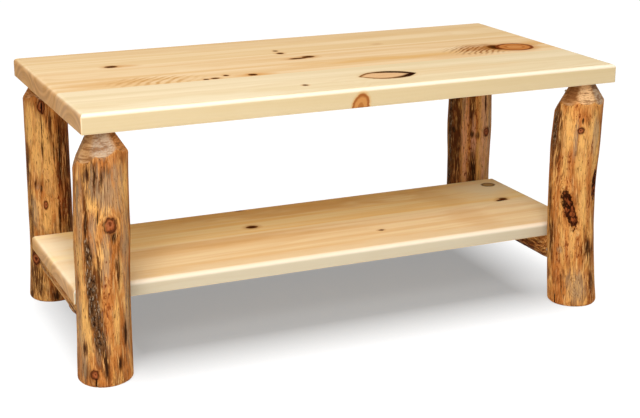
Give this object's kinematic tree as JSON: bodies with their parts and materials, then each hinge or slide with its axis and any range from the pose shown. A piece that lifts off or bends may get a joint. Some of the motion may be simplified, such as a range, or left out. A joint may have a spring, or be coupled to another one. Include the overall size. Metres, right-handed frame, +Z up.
{
  "type": "coffee table",
  "caption": "Rustic pine coffee table: an edge-glued knotty board top and lower shelf carried on crooked peeled log legs with hewn upper ends.",
  "frame": {"origin": "on the floor under the middle of the table top", "axes": "+X along the table to the right seen from the front, +Y from front to rear, +Z up"},
  "size_m": [1.1518, 0.5875, 0.52],
  "materials": {
    "board_pine": "planed knotty pine under clear satin lacquer",
    "log_pine": "peeled pine log under clear satin lacquer",
    "dowel_beech": "plain turned beech",
    "zinc_steel": "zinc-plated steel"
  },
  "bodies": {
    "root": {"top_board_front": "board_pine", "top_board_middle": "board_pine", "top_board_rear": "board_pine", "shelf_board_front": "board_pine", "shelf_board_rear": "board_pine", "leg_front_left": "log_pine", "leg_front_right": "log_pine", "leg_rear_left": "log_pine", "leg_rear_right": "log_pine", "shelf_rail_left": "log_pine", "shelf_rail_right": "log_pine", "leg_dowels": "dowel_beech", "top_dowels": "dowel_beech", "shelf_dowels": "dowel_beech", "toe_screws": "zinc_steel", "shelf_screws": "zinc_steel", "tenon_nails": "zinc_steel"}
  },
  "joints": []
}
